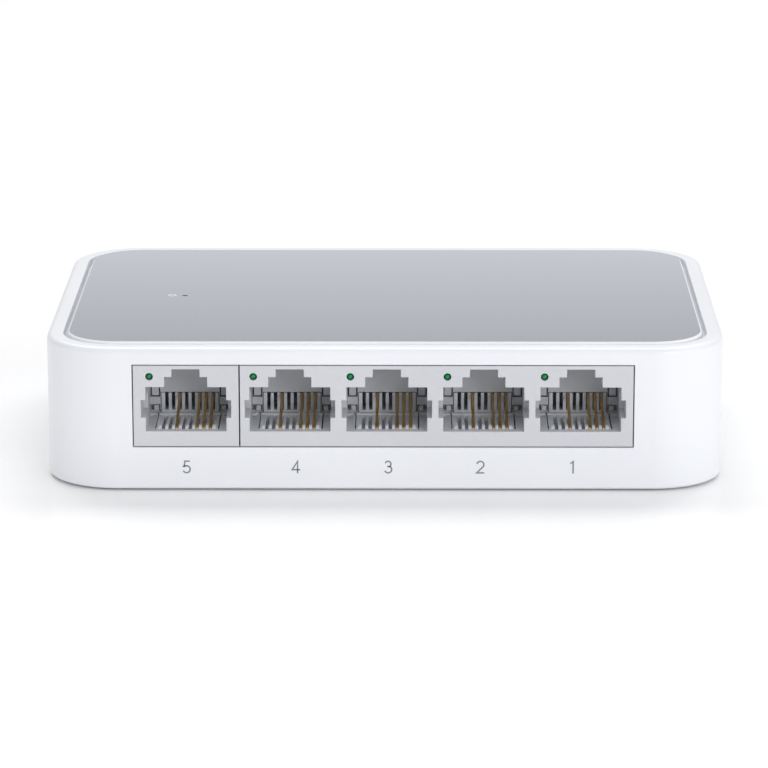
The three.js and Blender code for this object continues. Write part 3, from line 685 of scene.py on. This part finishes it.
@dataclass
class PowerEntry:
    """The barrel inlet in the side wall, and the lamp with its light pipe."""

    housing_edge: Edge = Edge(0.06, 2)
    pin_edge: Edge = Edge(0.0)
    leaf_edge: Edge = Edge(0.04, 2, 50.0)
    lamp_edge: Edge = Edge(0.03)
    pipe_edge: Edge = Edge(0.04)

    def build(self) -> None:
        """Makes the inlet's three pieces, the lamp and the pipe."""
        for node, name, finish, edge in (
            ("power_inlet_housing", "inlet_shell", Finish.INLET_NYLON, self.housing_edge),
            ("power_inlet_pin", "inlet_centre_pin", Finish.NICKEL, self.pin_edge),
            ("power_inlet_leaf", "inlet_leaf", Finish.TINNED_BRONZE, self.leaf_edge),
            ("power_lamp", "board_lamp", Finish.GREEN_LENS, self.lamp_edge),
            ("power_light_pipe", "light_pipe", Finish.LIGHT_PIPE, self.pipe_edge),
        ):
            refine_and_seat(node, name, finish, edge)


@dataclass
class CircuitBoard:
    """The board and what is soldered or screwed to it."""

    edge: Edge = Edge(0.05, 2)

    def build(self) -> None:
        """Makes the board and its components."""
        for node, name, finish in (
            ("main_board", "board", Finish.BOARD),
            ("board_screw_left", "screw_left", Finish.NICKEL),
            ("board_screw_right", "screw_right", Finish.NICKEL),
            ("switch_chip", "chip", Finish.CHIP_RESIN),
            ("magnetics_ganged", "transformers_ganged", Finish.FERRITE),
            ("magnetics_single", "transformer_single", Finish.FERRITE),
            ("voltage_regulator", "regulator", Finish.CHIP_RESIN),
            ("power_inductor", "inductor", Finish.FERRITE),
            ("input_capacitor", "capacitor_input", Finish.CAN),
            ("output_capacitor", "capacitor_output", Finish.CAN),
            ("clock_crystal", "crystal", Finish.CAN),
        ):
            refine_and_seat(node, name, finish, self.edge)


# ---------------------------------------------------------------- printing

Stroke = Sequence[tuple[float, float]]


def arc(
    centre: tuple[float, float], radius: float, start: float, end: float, steps: int = 14
) -> list[tuple[float, float]]:
    """Gives points along an arc.

    Args:
        centre: The arc's centre.
        radius: Its radius.
        start: The first angle in degrees, anticlockwise from the right.
        end: The last angle in degrees.
        steps: How many chords it has.

    Returns:
        The points, from start to end.
    """
    turns = (math.radians(start + (end - start) * i / steps) for i in range(steps + 1))
    return [(centre[0] + radius * math.cos(t), centre[1] + radius * math.sin(t)) for t in turns]


def ribbon(work: bmesh.types.BMesh, line: Stroke, width: float, to_frame: Any) -> None:
    """Adds a flat ribbon of even width along a line, with mitred turns.

    Args:
        work: The mesh to add to.
        line: Points in the drawing's own plane.
        width: The ribbon's width in the drawing's units.
        to_frame: Turns a drawing point into a place in the frame.
    """
    points = [Vector(p) for p in line]
    pairs = []
    for i, point in enumerate(points):
        before = (point - points[i - 1]).normalized() if i else None
        after = (points[i + 1] - point).normalized() if i + 1 < len(points) else None
        ref = before or after
        run = (ref + (after or before)).normalized()
        side = Vector((-run.y, run.x))
        reach = width / 2 / max(SHARPEST_MITRE, side.dot(Vector((-ref.y, ref.x))))
        pairs.append((point + side * reach, point - side * reach))
    verts = [(work.verts.new(to_frame(a)), work.verts.new(to_frame(b))) for a, b in pairs]
    for (a0, b0), (a1, b1) in zip(verts, verts[1:]):
        work.faces.new((a0, b0, b1, a1))


def numeral_strokes(digit: int) -> list[Stroke]:
    """Draws a plain numeral one unit high, centred, as strokes of a thin round sans-serif.

    Args:
        digit: The numeral, from 1 to 5.

    Returns:
        Its strokes.
    """
    if digit == 1:
        return [[(-0.17, 0.3), (0.04, 0.46), (0.04, -0.5)]]
    if digit == 2:
        bowl = arc((0.0, 0.2), 0.27, 165, -35, 16)
        return [[*bowl, (-0.28, -0.46), (0.3, -0.46)]]
    if digit == 3:
        upper = arc((-0.01, 0.24), 0.23, 160, -75, 14)
        lower = arc((0.0, -0.2), 0.27, 80, -160, 16)
        return [upper, [(-0.08, 0.03), (0.05, 0.06)], lower]
    if digit == 4:
        return [[(0.12, -0.5), (0.12, 0.46), (-0.3, -0.22), (0.32, -0.22)]]
    bowl = arc((-0.02, -0.19), 0.28, 128, -155, 18)
    return [[(0.24, 0.46), (-0.15, 0.46), (-0.19, 0.03), *bowl]]


@dataclass
class Markings:
    """The pad-printed port numbers under the jacks, and a power symbol by the pinhole."""

    numeral_height_mm: float = 1.95
    numeral_middle_mm: float = 3.5  # above the underside of the case
    numeral_first_mm: float = -29.96  # port 5, the one on its own
    numeral_ganged_mm: float = -13.4  # port 4
    numeral_pitch_mm: float = 13.97
    stroke_mm: float = 0.23
    film_mm: float = 0.012
    film_root: float = 1.5  # times the film, so that its underside lies a little inside the face
    symbol_radius_mm: float = 0.55
    symbol_stroke_mm: float = 0.2
    symbol_offset_mm: float = 2.0

    def build(self) -> None:
        """Prints the five numbers and the symbol."""
        self.print_number(PORT_LABELS[0], self.numeral_first_mm)
        for place, label in enumerate(PORT_LABELS[1:]):
            self.print_number(label, self.numeral_ganged_mm + place * self.numeral_pitch_mm)
        self.print_power_symbol()

    def print_number(self, label: int, middle_mm: float) -> None:
        """Prints one port's number on the front wall below its jack.

        Args:
            label: The port's number.
            middle_mm: Where its middle stands along the wall, in millimetres.
        """
        middle = middle_mm * MM
        wall_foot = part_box("top_cover")[0]
        height = wall_foot.z + self.numeral_middle_mm * MM
        face = wall_foot.y - self.film_mm * MM
        size = self.numeral_height_mm * MM
        work = bmesh.new()
        for stroke in numeral_strokes(label):
            ribbon(
                work,
                stroke,
                self.stroke_mm / self.numeral_height_mm,
                lambda p: (middle + p.x * size, face, height + p.y * size),
            )
        self.finish_print(work, f"number_{label}", Finish.NUMERAL_INK, Vector((0, -1, 0)))

    def print_power_symbol(self) -> None:
        """Prints a plain power symbol, a broken ring with a bar, beside the pinhole."""
        centre = middle_of("power_light_pipe") - Vector((self.symbol_offset_mm * MM, 0))
        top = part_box("top_inlay")[1].z + self.film_mm * MM
        radius = self.symbol_radius_mm * MM
        work = bmesh.new()
        # The symbol is read from the side away from the ports, so its bar points to -Y.
        for stroke in (arc((0, 0), 1.0, -50, 230, 24), [(0, -0.25), (0, -1.25)]):
            ribbon(
                work,
                stroke,
                self.symbol_stroke_mm / self.symbol_radius_mm,
                lambda p: (centre.x + p.x * radius, centre.y + p.y * radius, top),
            )
        self.finish_print(work, "power_symbol", Finish.SYMBOL_INK, Vector((0, 0, 1)))

    def finish_print(self, work: bmesh.types.BMesh, name: str, ink: Finish, facing: Vector) -> None:
        """Gives a drawn print its thickness and ink, and seats it on the case.

        Args:
            work: The flat ribbons; they are freed here.
            name: The print's name.
            ink: Its ink.
            facing: The way the print faces.
        """
        bmesh.ops.recalc_face_normals(work, faces=work.faces)
        wrong = [face for face in work.faces if face.normal.dot(facing) < 0]
        bmesh.ops.reverse_faces(work, faces=wrong)
        mesh = bpy.data.meshes.new(name)
        work.to_mesh(mesh)
        work.free()
        piece = link_mesh(name, mesh)
        film = piece.modifiers.new("film", "SOLIDIFY")
        film.thickness = self.film_mm * MM * self.film_root
        film.offset = -1.0
        settled(piece)
        piece.data.materials.append(ink.material())
        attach(piece, "case")
        LOG.info("%s printed", name)


# ---------------------------------------------------------------- studio


@dataclass
class Softbox:
    """A soft rectangular light, in metres and watts."""

    name: str
    place: tuple[float, float, float]
    aim: tuple[float, float, float]
    size: tuple[float, float]
    watts: float

    def build(self) -> None:
        """Hangs the light and points it at its aim."""
        lamp = bpy.data.lights.new(self.name, "AREA")
        lamp.shape = "RECTANGLE"
        lamp.size, lamp.size_y = self.size
        lamp.energy = self.watts
        holder = bpy.data.objects.new(self.name, lamp)
        holder.location = self.place
        sight = Vector(self.aim) - Vector(self.place)
        holder.rotation_euler = sight.to_track_quat("-Z", "Y").to_euler()
        bpy.context.scene.collection.objects.link(holder)


@dataclass
class Studio:
    """The pale sheet, the surrounding light, the softboxes and the camera.

    Places and distances are in metres, angles in degrees. The camera looks along +Y, down by
    its elevation and turned a little by its swing and roll.
    """

    lens_mm: float = 181.0
    sensor_mm: float = 36.0
    distance: float = 0.6181
    elevation: float = 14.651
    swing: float = -0.442
    roll: float = -0.055
    aim: tuple[float, float, float] = (-0.00032, 0.0, 0.007665)
    nearest_seen: float = 0.01
    surround: float = 0.38
    sheet_half_size: float = 6.0
    sheet_gap_mm: float = 0.02  # keeps the sheet clear of the pads' own flat faces

    def build(self) -> None:
        """Sets up everything round the switch."""
        self.lay_sheet()
        self.light()
        self.place_camera()

    def lay_sheet(self) -> None:
        """Lays the pale sheet the switch stands on."""
        work = bmesh.new()
        bmesh.ops.create_grid(work, x_segments=1, y_segments=1, size=self.sheet_half_size)
        mesh = bpy.data.meshes.new("studio_sheet")
        work.to_mesh(mesh)
        work.free()
        sheet = link_mesh("studio_sheet", mesh)
        sheet.location.z = -self.sheet_gap_mm * MM
        mesh.materials.append(StudioSurface().build())

    def light(self) -> None:
        """Adds the even surrounding light and the softboxes."""
        world = bpy.data.worlds.new("studio_surround")
        bpy.context.scene.world = world
        world.use_nodes = True
        background = world.node_tree.nodes["Background"]
        background.inputs["Color"].default_value = (1.0, 1.0, 1.0, 1.0)
        background.inputs["Strength"].default_value = self.surround
        for box in (
            Softbox("rear_overhead", (0.0, 0.5, 0.8), (0.0, 0.0, 0.02), (1.0, 0.5), 6.4),
            Softbox("front_overhead", (0.0, -0.8, 0.6), (0.0, 0.0, 0.01), (0.8, 0.5), 1.0),
            Softbox("right_key", (0.5, -0.9, 0.25), (0.0, 0.0, 0.01), (0.4, 0.3), 2.6),
            Softbox("right_side", (0.7, -0.35, 0.35), (0.0, 0.0, 0.01), (0.5, 0.5), 1.4),
            Softbox("left_side", (-0.7, -0.35, 0.35), (0.0, 0.0, 0.01), (0.5, 0.5), 1.0),
            Softbox("overhead", (0.0, 0.0, 0.8), (0.0, 0.0, 0.0), (0.9, 0.9), 0.5),
        ):
            box.build()

    def place_camera(self) -> None:
        """Places the camera on its arc round the aim point."""
        elevation, swing = math.radians(self.elevation), math.radians(self.swing)
        forward = Vector(
            (
                math.sin(swing) * math.cos(elevation),
                math.cos(swing) * math.cos(elevation),
                -math.sin(elevation),
            )
        )
        camera = bpy.data.cameras.new("studio_camera")
        camera.lens = self.lens_mm
        camera.sensor_width = self.sensor_mm
        camera.clip_start = self.nearest_seen
        holder = bpy.data.objects.new("studio_camera", camera)
        holder.location = Vector(self.aim) - forward * self.distance
        holder.rotation_euler = forward.to_track_quat("-Z", "Y").to_euler()
        holder.rotation_euler.rotate_axis("Z", math.radians(self.roll))
        bpy.context.scene.collection.objects.link(holder)
        bpy.context.scene.camera = holder
        bpy.context.scene.view_settings.view_transform = "Standard"


def main() -> None:
    """Builds the switch and its studio in order, and reports each piece."""
    logging.basicConfig(level=logging.INFO, format="%(name)s: %(message)s")
    assemblies: Iterable[Any] = (
        Studio(),
        CaseAssembly(),
        PortRow(),
        PowerEntry(),
        CircuitBoard(),
        Markings(),
    )
    for assembly in assemblies:
        assembly.build()
        LOG.info("%s done", type(assembly).__name__)


if __name__ == "__main__":
    main()
